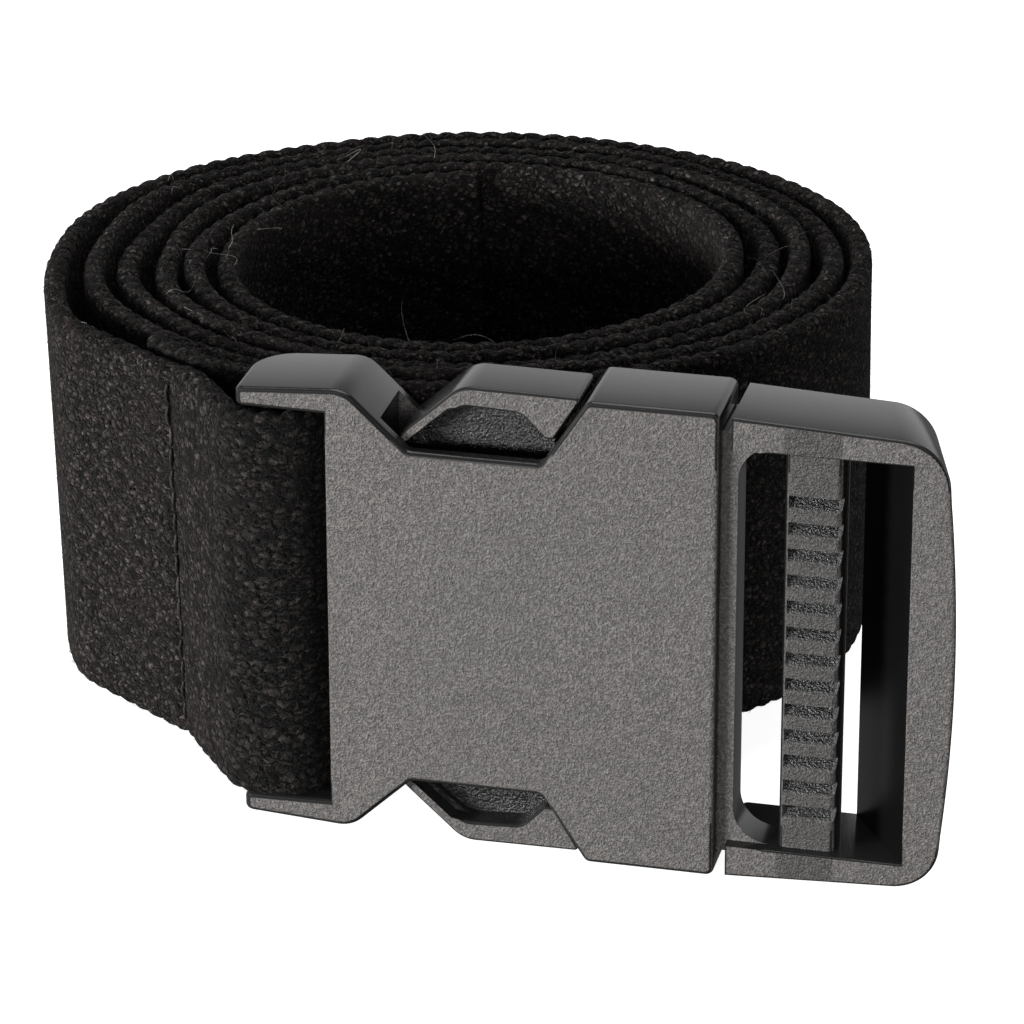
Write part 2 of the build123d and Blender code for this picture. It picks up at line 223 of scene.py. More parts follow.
def smooth_mesh(name, coords, loops, sizes):
    """Smooth mesh of flat coordinates, whose faces take sizes corners each from loops."""
    mesh = bpy.data.meshes.new(name)
    mesh.vertices.add(len(coords) // 3)
    mesh.vertices.foreach_set("co", coords)
    starts = np.concatenate([[0], np.cumsum(sizes)[:-1]]).astype(np.int32)
    mesh.loops.add(len(loops))
    mesh.loops.foreach_set("vertex_index", loops)
    mesh.polygons.add(len(sizes))
    mesh.polygons.foreach_set("loop_start", starts)
    mesh.polygons.foreach_set("loop_total", sizes.astype(np.int32))
    mesh.polygons.foreach_set("use_smooth", np.ones(len(sizes), dtype=bool))
    return mesh


def grid_mesh(name, rows, columns, coords, uv):
    """Tube of rows rings with columns points each, closed round and capped."""
    count = rows * columns
    i = np.arange(rows - 1)[:, None] * columns
    k = np.arange(columns)[None, :]
    k2 = (k + 1) % columns
    quads = np.stack([i + k, i + k2, i + columns + k2, i + columns + k], -1)
    quads = quads.reshape(-1, 4)
    cap_a = list(range(columns - 1, -1, -1))
    cap_b = [count - columns + c for c in range(columns)]
    loops = np.concatenate([quads.reshape(-1), cap_a, cap_b]).astype(np.int32)
    sizes = np.concatenate([np.full(len(quads), 4), [columns, columns]])
    mesh = smooth_mesh(name, coords.reshape(-1), loops, sizes)
    layer = mesh.uv_layers.new(name="Weave")
    u, v = uv
    ring = np.repeat(np.arange(rows - 1), columns)
    first_v = np.tile(v[:-1], rows - 1)
    next_v = np.tile(v[1:], rows - 1)
    corner_u = np.stack([u[ring], u[ring], u[ring + 1], u[ring + 1]], 1)
    corner_v = np.stack([first_v, next_v, next_v, first_v], 1)
    flat = np.stack([corner_u, corner_v], -1).reshape(-1, 2)
    caps_a = np.stack([np.full(columns, u[0]), v[:-1][::-1]], 1)
    caps_b = np.stack([np.full(columns, u[-1]), v[:-1]], 1)
    layer.data.foreach_set("uv", np.concatenate([flat, caps_a, caps_b]).reshape(-1))
    mesh.update(calc_edges=True)
    mesh.validate()
    return place(name, mesh)


class Nodes:
    """Writes the node tree of a new material, or of the world, one line per node."""

    def __init__(self, owner, output="OutputMaterial"):
        self.owner = owner
        self.owner.use_nodes = True
        self.tree = self.owner.node_tree
        self.tree.nodes.clear()
        self.out = self.add(output)

    def add(self, kind, inputs=None, **settings):
        node = self.tree.nodes.new("ShaderNode" + kind)
        for key, value in settings.items():
            setattr(node, key, value)
        for key, value in (inputs or {}).items():
            self.set(node.inputs[key], value)
        return node

    def set(self, socket, value):
        if isinstance(value, bpy.types.NodeSocket):
            self.tree.links.new(value, socket)
        elif isinstance(value, bpy.types.Node):
            self.tree.links.new(value.outputs[0], socket)
        else:
            socket.default_value = value

    def math(self, operation, a, b=0.0, c=0.0):
        return self.add("Math", {0: a, 1: b, 2: c}, operation=operation).outputs[0]

    def noise(self, vector, scale, detail=2.0, roughness=0.5):
        node = self.add(
            "TexNoise",
            {"Vector": vector, "Scale": scale, "Detail": detail, "Roughness": roughness},
        )
        return node.outputs["Fac"]

    def ramp(self, factor, low, high, to_low=0.0, to_high=1.0):
        node = self.add("MapRange", {0: factor, 1: low, 2: high, 3: to_low, 4: to_high})
        node.clamp = True
        return node.outputs[0]

    def ramp_mm(self, factor, low, high, to_low=0.0, to_high=1.0):
        """Ramp along a distance whose two ends are given in millimetres."""
        return self.ramp(factor, low * MM, high * MM, to_low, to_high)

    def mix(self, factor, a, b):
        node = self.add("Mix", data_type="RGBA")
        self.set(node.inputs[0], factor)
        self.set(node.inputs[6], a)
        self.set(node.inputs[7], b)
        return node.outputs[2]

    def surface(self, shader):
        self.tree.links.new(shader.outputs[0], self.out.inputs["Surface"])
        return self.owner


def look(name):
    """The empty node tree of a new material."""
    return Nodes(bpy.data.materials.new(name))


# ------------------------------------------------------------------ materials
YARN_BLACK = (0.0008, 0.0008, 0.0008, 1)
YARN_GREY = (0.0370, 0.0312, 0.0290, 1)
YARN_PAINTED_GLINT = (0.1150, 0.0990, 0.0920, 1)
YARN_BROWN = (0.0235, 0.0160, 0.0158, 1)
YARN_RED = (0.050, 0.022, 0.024, 1)
YARN_BAR_SHADOW = (0.0012, 0.0013, 0.0012, 1)
PLASTIC_FACE = (0.0850, 0.0787, 0.0753, 1)
PLASTIC_SPECK = (0.160, 0.150, 0.144, 1)
PLASTIC_PIT = (0.036, 0.0345, 0.0335, 1)
PLASTIC_CLOUD = (0.070, 0.066, 0.063, 1)
PLASTIC_SIDE = (0.014, 0.014, 0.0142, 1)
PLASTIC_EDGE_SHADE = (0.002, 0.002, 0.002, 1)
PLASTIC_SLIT_SHADOW = (0.0015, 0.0015, 0.0015, 1)
PLASTIC_BAR = (0.006, 0.006, 0.006, 1)
PLASTIC_RECESS_SHADE = (0.0015, 0.0016, 0.0015, 1)
PLASTIC_LEANING_SHADE = (0.0012, 0.0012, 0.0012, 1)
TWILL_PITCH, TWILL_DEPTH = 3.1, 0.28


def webbing_material():
    """Worn woven polyester: fuzzy yarn lumps between gaps darkened by painted shade, looser on
    the doubled end.
    """
    n = look("webbing")
    uv = n.add("UVMap", uv_map="Weave").outputs[0]
    coords = n.add("TexCoord").outputs["Object"]
    split = n.add("SeparateXYZ", {0: uv}).outputs
    hem = n.ramp_mm(split[0], seam_at + 1.0, seam_at + 4.5)
    plain = n.add("Mapping", {"Vector": uv, "Scale": (1000.0, 1000.0, 1000.0)}).outputs[0]
    tangle = n.add(
        "TexNoise", {"Vector": coords, "Scale": 950.0, "Detail": 3.0, "Roughness": 0.65}
    ).outputs["Color"]
    push = n.add("VectorMath", {0: tangle, 1: (0.5, 0.5, 0.5)}, operation="SUBTRACT").outputs[0]
    push = n.add("VectorMath", {0: push, 1: (1.5, 1.5, 0.0)}, operation="MULTIPLY").outputs[0]
    warped = n.add("VectorMath", {0: plain, 1: push}, operation="ADD").outputs[0]

    def lumps(along, across, tilt, disorder):
        """Height and tone of packed yarn lumps, sizes in millimetres."""
        cells = n.add(
            "Mapping",
            {"Vector": warped, "Rotation": (0, 0, tilt), "Scale": (1 / along, 1 / across, 1.0)},
        )
        layout = {"Vector": cells, "Scale": 1.0, "Randomness": disorder}
        gap = n.add("TexVoronoi", layout, feature="DISTANCE_TO_EDGE").outputs["Distance"]
        tint = n.add("TexVoronoi", layout, feature="F1").outputs["Color"]
        tone = n.add("SeparateXYZ", {0: tint}).outputs[0]
        return n.ramp(gap, 0.03, 0.24), tone

    fine_height, fine_tone = lumps(1.10, 0.75, 0.45, 0.80)
    loop_height, loop_tone = lumps(1.45, 1.05, 0.0, 0.8)
    height = n.add("Mix", {0: hem, 2: fine_height, 3: loop_height}).outputs[0]
    tone = n.add("Mix", {0: hem, 2: fine_tone, 3: loop_tone}).outputs[0]
    strands = n.noise(
        n.add("Mapping", {"Vector": uv, "Rotation": (0, 0, 0.5), "Scale": (1500.0, 2600.0, 1.0)}),
        1.0, 3.0, 0.75,
    )
    salt = n.noise(coords, 1450.0, 3.0, 0.8)
    # the twill shows as faint rising bands on the plain webbing
    band = n.math("MULTIPLY_ADD", split[0], 0.42, split[1])
    band = n.math("SINE", n.math("MULTIPLY", band, 2 * math.pi / (TWILL_PITCH * MM)))
    on_hem = n.math("MULTIPLY", hem, TWILL_DEPTH)
    band = n.math("MULTIPLY", band, n.math("SUBTRACT", TWILL_DEPTH, on_hem))
    relief = n.math("MULTIPLY_ADD", strands, 0.7, n.math("MULTIPLY", height, 1.1))
    relief = n.math("MULTIPLY_ADD", salt, 0.9, relief)
    relief = n.math("ADD", relief, band)
    bump = n.add("Bump", {"Strength": 1.0, "Distance": 0.00055, "Height": relief})
    # the yarn darkens with its relief: each lump's own tone, and painted shade in the low gaps
    # between lumps
    shade = n.math("MULTIPLY_ADD", tone, 0.55, relief)
    colour = n.mix(n.ramp(shade, 1.3, 2.2), YARN_BLACK, YARN_GREY)
    # pale flecks on the high lump tops are a painted glint
    glint = n.ramp(n.noise(coords, 1900.0, 2.0, 0.7), 0.52, 0.62)
    colour = n.mix(n.math("MULTIPLY", glint, n.ramp(shade, 1.4, 1.9)), colour, YARN_PAINTED_GLINT)
    pepper = n.ramp(n.noise(coords, 1150.0, 2.0, 0.6), 0.47, 0.38)
    colour = n.mix(n.math("MULTIPLY", pepper, 0.95), colour, YARN_BLACK)
    # painted shade darkens the gaps between the yarn lumps, more so on the doubled end
    gap_shade = n.math("MULTIPLY", n.ramp(height, 0.85, 0.2), n.ramp(hem, 0.0, 1.0, 0.6, 0.98))
    colour = n.mix(gap_shade, colour, YARN_BLACK)
    patch = n.ramp(n.noise(coords, 70.0, 3.0, 0.6), 0.45, 0.75)
    colour = n.mix(n.math("MULTIPLY", patch, 0.3), colour, YARN_BROWN)
    fleck = n.ramp(n.noise(coords, 900.0, 1.0), 0.68, 0.76)
    colour = n.mix(n.math("MULTIPLY", fleck, 0.45), colour, YARN_RED)
    # painted shadow darkens the webbing where it turns round the bar
    bar_shadow = n.ramp_mm(split[0], loop_at - 7.0, loop_at + 1.5)
    colour = n.mix(n.math("MULTIPLY", bar_shadow, 0.50), colour, YARN_BAR_SHADOW)
    shader = n.add(
        "BsdfPrincipled",
        {
            "Base Color": colour,
            "Roughness": n.ramp(salt, 0.3, 0.7, 0.75, 1.0),
            "Normal": bump,
            "Specular IOR Level": 0.12,
            "Sheen Weight": 0.035,
            "Sheen Roughness": 0.5,
            "Sheen Tint": (0.85, 0.78, 0.75, 1),
        },
    )
    return n.surface(shader)


def plastic_material():
    """Moulded plastic: grained front and back faces, polished sides, recesses darkened by painted
    shade.
    """
    n = look("buckle_plastic")
    coords = n.add("TexCoord")
    position = coords.outputs["Object"]
    spot = n.add("SeparateXYZ", {0: position}).outputs
    facing = n.add("SeparateXYZ", {0: coords.outputs["Normal"]}).outputs
    flatness = n.math("ABSOLUTE", facing[1])
    rise = n.math("ABSOLUTE", facing[2])
    leaning = n.math("MULTIPLY", n.ramp(facing[0], -0.6, -0.8), n.ramp(facing[1], -0.3, -0.45))
    rolled = n.math("MULTIPLY", n.ramp(flatness, 0.25, 0.6), n.ramp(rise, 0.45, 0.15))
    rolled = n.math("MULTIPLY", rolled, n.math("SUBTRACT", 1.0, leaning))
    on_face = n.math("MAXIMUM", n.ramp(flatness, 0.965, 0.99), rolled)
    # the whole grip bar is grained, its sloping teeth included
    along = n.math("SUBTRACT", spot[0], (BUCKLE[0] + GRIP_CENTRE) * MM)
    from_grip = n.math("ABSOLUTE", along)
    on_bar = n.math("MULTIPLY", n.ramp_mm(from_grip, 3.6, 3.4), n.ramp(flatness, 0.72, 0.84))
    on_face = n.math("MAXIMUM", on_face, on_bar)
    # a thin dark line of painted shade follows the outer edges where grained face meets polished
    # side
    height = n.math("ABSOLUTE", n.math("SUBTRACT", spot[2], BUCKLE[2] * MM))
    outer = n.ramp_mm(height, 23.2, 23.6)
    line = n.math("MULTIPLY", n.ramp(flatness, 0.70, 0.80), n.ramp(flatness, 0.97, 0.95))
    line = n.math("MULTIPLY", line, outer)
    grain = n.noise(position, 3500.0, 2.0, 0.65)
    coarse = n.noise(position, 1900.0, 1.0, 0.5)
    fine = n.noise(position, 7600.0, 1.0, 0.5)
    pebble = n.math("MULTIPLY_ADD", coarse, 0.5, grain)
    depth = n.math("MULTIPLY_ADD", on_face, 0.96, 0.04)
    relief = n.math("MULTIPLY", pebble, depth)
    relief = n.math("MULTIPLY_ADD", fine, 0.03, relief)
    bump = n.add("Bump", {"Strength": 1.0, "Distance": 0.00026, "Height": relief})
    # the polished sides are slightly crowned across their depth
    across = n.math("SUBTRACT", spot[1], (BUCKLE[1] + BUCKLE_MID) * MM)
    crown = n.math("MULTIPLY", n.math("MULTIPLY", across, across), -10.0)
    crowned = n.add(
        "Bump",
        {"Strength": 1.0, "Distance": 1.0, "Height": crown, "Normal": bump},
    )
    colour = n.mix(on_face, PLASTIC_SIDE, PLASTIC_FACE)
    speck = n.math("MULTIPLY", n.ramp(pebble, 0.74, 0.92), on_face)
    colour = n.mix(speck, colour, PLASTIC_SPECK)
    pit = n.math("MULTIPLY", n.ramp(pebble, 0.75, 0.58), on_face)
    colour = n.mix(n.math("MULTIPLY", pit, 0.6), colour, PLASTIC_PIT)
    cloud = n.ramp(n.noise(position, 45.0, 3.0, 0.5), 0.35, 0.75, 0.0, 0.25)
    colour = n.mix(cloud, colour, PLASTIC_CLOUD)
    # painted shade along the outer edges
    colour = n.mix(line, colour, PLASTIC_EDGE_SHADE)
    # painted shadow keeps the bar's tooth slits dark, and painted shade the walls inside the
    # release arms
    sunk = n.math("SUBTRACT", spot[1], BUCKLE[1] * MM)
    slit_shadow = n.math("MULTIPLY", n.ramp_mm(sunk, 1.55, 1.82), n.ramp_mm(sunk, 3.4, 3.0))
    slit_shadow = n.math("MULTIPLY", slit_shadow, n.ramp_mm(from_grip, 3.05, 2.85))
    slit_shadow = n.math("MULTIPLY", slit_shadow, n.ramp_mm(height, SLOT_HALF + 0.1, SLOT_HALF - 0.1))
    colour = n.mix(slit_shadow, colour, PLASTIC_SLIT_SHADOW)
    colour = n.mix(n.math("MULTIPLY", on_bar, 0.5), colour, PLASTIC_BAR)
    # painted shade on the walls inside the release arms, a little lighter towards the arch
    middle = n.ramp_mm(n.math("ABSOLUTE", across), 3.0, 2.2)
    recess_shade = n.math("MULTIPLY", middle, n.ramp(flatness, 0.8, 0.95))
    recess_shade = n.math("MULTIPLY", recess_shade, n.ramp_mm(height, 28.5, 25.0, 0.88, 1.0))
    colour = n.mix(recess_shade, colour, PLASTIC_RECESS_SHADE)
    rough = n.math("MULTIPLY_ADD", grain, 0.10, 0.14)
    rough = n.math("MULTIPLY_ADD", on_face, 0.33, rough)
    rough = n.math("MAXIMUM", rough, n.math("MULTIPLY", line, 0.9))
    # the wall that leans away under the end bar gets painted shade, darker than the other sides
    colour = n.mix(n.math("MULTIPLY", leaning, 0.95), colour, PLASTIC_LEANING_SHADE)
    shaded = n.math("MAXIMUM", n.math("MAXIMUM", slit_shadow, recess_shade), leaning)
    rough = n.add("Mix", {0: shaded, 2: rough, 3: 0.3}).outputs[0]
    shader = n.add(
        "BsdfPrincipled",
        {
            "Base Color": colour,
            "Roughness": rough,
            "Normal": crowned,
            "Specular IOR Level": 0.5,
        },
    )
    return n.surface(shader)


def thread_material():
    """Twisted polyester sewing thread, worn pale in places."""
    n = look("thread")
    coords = n.add("TexCoord").outputs["Object"]
    uv = n.add("UVMap", uv_map="Twist").outputs[0]
    split = n.add("SeparateXYZ", {0: uv}).outputs
    spiral = n.math("MULTIPLY_ADD", split[1], 2.0, n.math("MULTIPLY", split[0], 1100.0))
    twist = n.math("ABSOLUTE", n.math("SINE", n.math("MULTIPLY", spiral, math.pi)))
    fluff = n.noise(coords, 3000.0, 2.0)
    relief = n.math("MULTIPLY_ADD", fluff, 0.4, twist)
    bump = n.add("Bump", {"Strength": 0.7, "Distance": 0.00006, "Height": relief})
    colour = n.mix(twist, (0.003, 0.003, 0.003, 1), (0.020, 0.018, 0.017, 1))
    worn = n.ramp(n.noise(coords, 210.0, 2.0), 0.50, 0.66)
    colour = n.mix(n.math("MULTIPLY", worn, 0.7), colour, (0.060, 0.054, 0.051, 1))
    shader = n.add(
        "BsdfPrincipled",
        {
            "Base Color": colour,
            "Roughness": n.ramp(fluff, 0.3, 0.7, 0.45, 0.6),
            "Normal": bump,
            "Specular IOR Level": 0.2,
        },
    )
    return n.surface(shader)


def fibre_material():
    """Short fibres that stand out of the webbing."""
    n = look("loose_fibres")
    coords = n.add("TexCoord").outputs["Object"]
    tone = n.noise(coords, 600.0, 2.0, 0.6)
    colour = n.mix(n.ramp(tone, 0.4, 0.7), (0.006, 0.0055, 0.0055, 1), (0.045, 0.039, 0.037, 1))
    pale = n.ramp(n.noise(coords, 95.0, 0.0), 0.70, 0.74)
    colour = n.mix(pale, colour, (0.10, 0.092, 0.088, 1))
    shader = n.add(
        "BsdfPrincipled",
        {
            "Base Color": colour,
            "Roughness": n.ramp(tone, 0.3, 0.7, 0.55, 0.8),
            "Specular IOR Level": 0.3,
        },
    )
    return n.surface(shader)


def stray_material():
    """Long loose filaments, dark to pale."""
    n = look("stray_filaments")
    coords = n.add("TexCoord").outputs["Object"]
    tone = n.noise(coords, 70.0, 1.0, 0.5)
    colour = n.mix(n.ramp(tone, 0.42, 0.60), (0.02, 0.019, 0.018, 1), (0.30, 0.285, 0.27, 1))
    shader = n.add(
        "BsdfPrincipled",
        {"Base Color": colour, "Roughness": n.ramp(tone, 0.3, 0.7, 0.45, 0.6)},
    )
    return n.surface(shader)


fibre_look = fibre_material()
stray_look = stray_material()
webbing_look = webbing_material()
plastic_look = plastic_material()
thread_look = thread_material()


def wear(obj, material):
    obj.data.materials.clear()
    obj.data.materials.append(material)


# ------------------------------------------------------------------ webbing
VISIBLE_THICK = 2.72
EDGE_ROUND = 1.15
COIL_FADE = 105.0  # how far from the outer end the coil's slackness fades out
DRIFT, LIFT, LEAN = 0.34, 0.28, 0.30  # how far the turns wander out, up and over
SCALLOP, SCALLOP_DEPTH, SCALLOP_SINK = 2.8, 0.42, 0.18
PINCH_FROM = 20.0  # height from which the webbing thins towards its edges
FACE_POINTS, EDGE_POINTS = 27, 13
HEM_WIDER = 0.022
GROOVE_DEPTH, GROOVE_HALF = 0.38, 0.75
PUFF_AT, PUFF_HEIGHT, PUFF_HALF = 6.0, 0.25, 4.0
ASKEW = math.tan(math.radians(1.4))  # how far the coil leans against the buckle
SPREAD = 0.0072  # how much wider the coil lies than the CAD's
LEAN_LEFT, LEAN_LOW = 22.0, 12.0  # the lean's still point, left of and below the middle
SPREAD_LEFT = 41.0  # how much further left the spread starts


def cross_section():
    """Points round the webbing as (out, up) and a mask of how much each is an edge."""
    half = VISIBLE_THICK / 2
    flat = WEB_HALF - EDGE_ROUND
    face = np.linspace(-flat, flat, FACE_POINTS)
    ring, edge = [], []
    for turn in (1, -1):
        for up in face[::turn]:
            ring.append((turn * half, up))
            edge.append(0.0)
        for a in np.linspace(90, -90, EDGE_POINTS)[1:-1]:
            c, s = math.cos(math.radians(a)), math.sin(math.radians(a))
            out = turn * half * math.copysign(abs(s) ** 0.8, s)
            ring.append((out, turn * (flat + EDGE_ROUND * c**0.8)))
            edge.append(c)
    return np.array(ring), np.array(edge)


ring, edge = cross_section()
columns = len(ring)
rows = len(at)
girth = np.concatenate(
    [[0], np.cumsum(np.linalg.norm(np.diff(np.vstack([ring, ring[:1]]), axis=0), axis=1))]
)

normal_angle = np.arctan2(outward[:, 1], outward[:, 0])
in_coil = 1 / (1 + np.exp((at - (at[-1] - COIL_FADE)) / 6))
slack = np.cos(normal_angle) ** 2 * in_coil
drift = DRIFT * slack * wander(at, (31, 47, 83), 3)
lift = LIFT * wander(at, (61, 97, 173), 5) * in_coil
lean = LEAN * slack * wander(at, (41, 89), 9)

out = np.broadcast_to(ring[:, 0], (rows, columns)).copy()
up = np.broadcast_to(ring[:, 1], (rows, columns)).copy()
side = np.sign(ring[:, 1])
phase = 2 * math.pi * (at[:, None] / SCALLOP + ring[None, :, 0] / 7.0)
phase = phase + 0.9 * wander(at, (9.7, 23), 11)[:, None]
knuckle = np.abs(np.cos(phase / 2)) ** 0.8
up += edge[None, :] * side[None, :] * (SCALLOP_DEPTH * knuckle - SCALLOP_SINK)
pinch = np.clip((np.abs(ring[:, 1]) - PINCH_FROM) / (WEB_HALF - PINCH_FROM), 0, 1)
out *= 1 + pinch[None, :] * (0.10 * knuckle - 0.06)
# the seam draws both plies together in a shallow groove
outer_face = (ring[:, 0] > 0)[None, :]
groove = GROOVE_DEPTH * np.exp(-(((at - seam_at) / GROOVE_HALF) ** 2))
out -= np.where(outer_face, groove[:, None], 0)
# beyond the seam the doubled end puffs out
puff = PUFF_HEIGHT * np.exp(-(((at - seam_at - PUFF_AT) / PUFF_HALF) ** 2))
out += np.where(outer_face, puff[:, None] * (1 - (ring[None, :, 1] / WEB_HALF) ** 4), 0)
# the doubled end is a little wider, and the free inner end is pressed flat
hem = smoothstep(at, seam_at - 1, seam_at + 5)
up *= 1 + HEM_WIDER * hem[:, None]
pressed = 1 - smoothstep(at, 0, 5)
out = np.where(outer_face, out, out * (1 - 0.75 * pressed[:, None]))

base = np.zeros((rows, columns, 3))
base[..., :2] = centre_line[:, None, :]
reach = out + drift[:, None] + lean[:, None] * ring[None, :, 1] / WEB_HALF
base[..., :2] += outward[:, None, :] * reach[..., None]
base[..., 2] = up + lift[:, None]
# the coil sits slightly askew to the buckle, up to the seam
free = 1 - smoothstep(at, seam_at - 6, seam_at + 9)[:, None]
from_left = base[..., 0] + BUCKLE[0] + LEAN_LEFT
from_low = base[..., 2] + LEAN_LOW
base[..., 2] += ASKEW * from_left * free
base[..., 0] += (SPREAD * (from_left + SPREAD_LEFT) - ASKEW * from_low) * free
coords = to_frame(base.reshape(-1, 3)).reshape(rows, columns, 3)

webbing = grid_mesh("webbing_woven", rows, columns, coords, (at * MM, girth * MM))
wear(webbing, webbing_look)
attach(webbing, "strap")
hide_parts("webbing_strap")


# ------------------------------------------------------------------ loose fibres
def grid_normals(points):
    """Unit normals of the webbing's grid of points."""
    along = np.gradient(points, axis=0)
    around = np.roll(points, -1, axis=1) - np.roll(points, 1, axis=1)
    normal = np.cross(around, along)
    return normal / np.maximum(np.linalg.norm(normal, axis=2, keepdims=True), 1e-12)


def unit(vectors):
    return vectors / np.maximum(np.linalg.norm(vectors, axis=-1, keepdims=True), 1e-12)


def tubes(name, paths, radii, sides):
    """Many tapered tubes in one mesh: paths is count x steps x 3, radii the same count."""
    count, steps = paths.shape[:2]
    travel = unit(np.gradient(paths, axis=1))
    helper = np.where(np.abs(travel[..., 2:3]) > 0.8, [1.0, 0, 0], [0, 0, 1.0])
    first = unit(np.cross(travel, helper))
    second = np.cross(travel, first)
    angle = 2 * math.pi * np.arange(sides) / sides
    spread = (
        first[:, :, None] * np.cos(angle)[:, None] + second[:, :, None] * np.sin(angle)[:, None]
    )
    verts = paths[:, :, None] + spread * radii[:, :, None, None]
    tube = np.arange(count)[:, None, None] * steps * sides
    step = np.arange(steps - 1)[None, :, None] * sides
    k = np.arange(sides)[None, None, :]
    k2 = (k + 1) % sides
    quads = np.stack(
        np.broadcast_arrays(
            tube + step + k,
            tube + step + k2,
            tube + step + sides + k2,
            tube + step + sides + k,
        ),
        -1,
    ).reshape(-1, 4)
    tips = (tube[:, 0] + (steps - 1) * sides + np.arange(sides)).reshape(-1, sides)
    loops = np.concatenate([quads.reshape(-1), tips.reshape(-1)]).astype(np.int32)
    sizes = np.concatenate([np.full(len(quads), 4), np.full(len(tips), sides)])
    mesh = smooth_mesh(name, verts.reshape(-1), loops, sizes)
    layer = mesh.uv_layers.new(name="Twist")
    length = np.concatenate(
        [
            np.zeros((count, 1)),
            np.cumsum(np.linalg.norm(np.diff(paths, axis=1), axis=2), axis=1),
        ],
        1,
    ).reshape(-1)
    owner = loops // sides
    turn = (loops % sides) / sides
    layer.data.foreach_set("uv", np.stack([length[owner], turn], 1).reshape(-1))
    mesh.update(calc_edges=True)
    return place(name, mesh)


SELVAGE_FIBRES, OUTER_FIBRES, INNER_FIBRES = 15000, 8500, 2200
OUTER_TURN, INNER_TURN = 330.0, 215.0  # lengths of webbing that show outside and inside
STRAYS, STRAY_STEPS = 46, 14
normals = grid_normals(coords)


def fibre_paths(i, k, length, stand, sway, steps):
    """Curled fibres rooted at grid points i, k: stand is how upright they are."""
    root = coords[i, k] - normals[i, k] * 0.05 * MM
    count = len(i)
    heading = unit(normals[i, k] * stand + unit(rng.normal(size=(count, 3))) * 0.8)
    heading += normals[i, k] * 0.15
    bend = unit(rng.normal(size=(count, 3))) * sway
    t = np.linspace(0, 1, steps)[None, :, None]
    shape = heading[:, None] * t + bend[:, None] * (t**2) * 0.7
    return root[:, None] + shape * (length * MM)[:, None, None]


def pick(mask, count):
    """Row and column of count random grid points where the mask holds."""
    masked_rows, masked_columns = np.nonzero(mask)
    chosen = rng.integers(0, len(masked_rows), count)
    return masked_rows[chosen], masked_columns[chosen]


selvage = np.broadcast_to(edge[None, :] > 0.15, (rows, columns))
outermost = (at > at[-1] - OUTER_TURN)[:, None] & (ring[:, 0] > 0)[None, :]
innermost = (at < INNER_TURN)[:, None] & (ring[:, 0] < 0)[None, :]
groups = []
for mask, count, low, high, stand in (
    (selvage, SELVAGE_FIBRES, 0.35, 1.0, 0.8),
    (outermost, OUTER_FIBRES, 0.3, 0.8, 0.35),
    (innermost, INNER_FIBRES, 0.3, 0.8, 0.35),
):
    i, k = pick(mask, count)
    length = rng.uniform(low, high, count)
    groups.append(fibre_paths(i, k, length, stand, 0.5, 3))
paths = np.concatenate(groups)
thick = rng.uniform(0.020, 0.034, len(paths))[:, None] * np.array([1.0, 0.85, 0.35])[None]
fuzz = tubes("webbing_fuzz", paths, thick * MM, 3)
wear(fuzz, fibre_look)
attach(fuzz, "strap")

# a few long stray filaments have worked loose along the upper rim
top_edge = selvage & (ring[:, 1] > PINCH_FROM)[None, :]
t = np.linspace(0, 1, STRAY_STEPS)
strays = []
for i, k in zip(*pick(top_edge, STRAYS)):
    size = rng.uniform(1.8, 5.5)
    course = unit(normals[i, k] * 0.5 + rng.normal(size=3) * 0.6)
    if course[2] < 0.05:
        course[2] = 0.05 + 0.3 * rng.random()
    curl = rng.normal(size=(2, 3)) * 0.35
    waves = np.sin(t * rng.uniform(3, 7))[:, None]
    shape = course[None] * t[:, None] + curl[0][None] * waves * 0.5
    shape += curl[1][None] * (t**2)[:, None] * 0.6
    shape -= shape[0]
    strays.append(coords[i, k] + shape * size * MM)
strays = np.array(strays)
strays[..., 2] = np.maximum(strays[..., 2], 0.002)
stray_thick = np.full(strays.shape[:2], 0.030) * np.linspace(1, 0.5, STRAY_STEPS)[None]
loose = tubes("stray_filaments", strays, stray_thick * MM, 4)
wear(loose, stray_look)
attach(loose, "strap")

# ------------------------------------------------------------------ seam stitches
STITCH_RADIUS, STITCH_STEPS, STITCH_SIDES = 0.24, 13, 10
STITCH_PROUD = 0.02
HOLE_GAP = 0.12  # between a needle hole and the end of a stitch


def stitches(name, node, depth, facing):
    """Lockstitches between neighbouring needle holes, sunk into their groove."""
    seam_place = centre_line[seam_index]
    face = outward[seam_index]
    along = np.array([-face[1], face[0]])
    t = np.linspace(0, 1, STITCH_STEPS)
    paths = []
    for stitch in range(SEAM_HOLES - 1):
        low = (stitch - (SEAM_HOLES - 1) / 2) * SEAM_PITCH
        jog = rng.normal(0, 0.20)
        sunk = rng.uniform(0.38, 0.56)
        rise = 0.26 * np.sin(math.pi * t) ** 0.5 - sunk
        z = low + HOLE_GAP + t * (SEAM_PITCH - 2 * HOLE_GAP)
        sideways = jog * np.sin(math.pi * t) + 0.16 * (t - 0.5)
        xy = (
            seam_place[None]
            + face[None] * (depth + facing * rise)[:, None]
            + along[None] * sideways[:, None]
        )
        paths.append(np.column_stack([xy, z]))
    paths = np.array(paths)
    paths[..., 2] += ASKEW * (paths[..., 0] + BUCKLE[0] + LEAN_LEFT)
    paths[..., 0] -= ASKEW * (paths[..., 2] + LEAN_LOW)
    radii = STITCH_RADIUS * (0.8 + 0.2 * np.sin(math.pi * t))
    obj = tubes(name, to_frame(paths), np.broadcast_to(radii * MM, paths.shape[:2]), STITCH_SIDES)
    wear(obj, thread_look)
    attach(obj, "strap")
    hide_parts(node)


half = VISIBLE_THICK / 2
stitches("needle_stitches", "seam_needle_thread", half + STITCH_PROUD, 1)
stitches("bobbin_stitches", "seam_bobbin_thread", -(half + WEB_THICK + PLY_GAP), -1)

# ------------------------------------------------------------------ carried-over nodes
for name in ("buckle_socket", "buckle_plug", "upper_release_arm", "lower_release_arm"):
    wear(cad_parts[name], plastic_look)

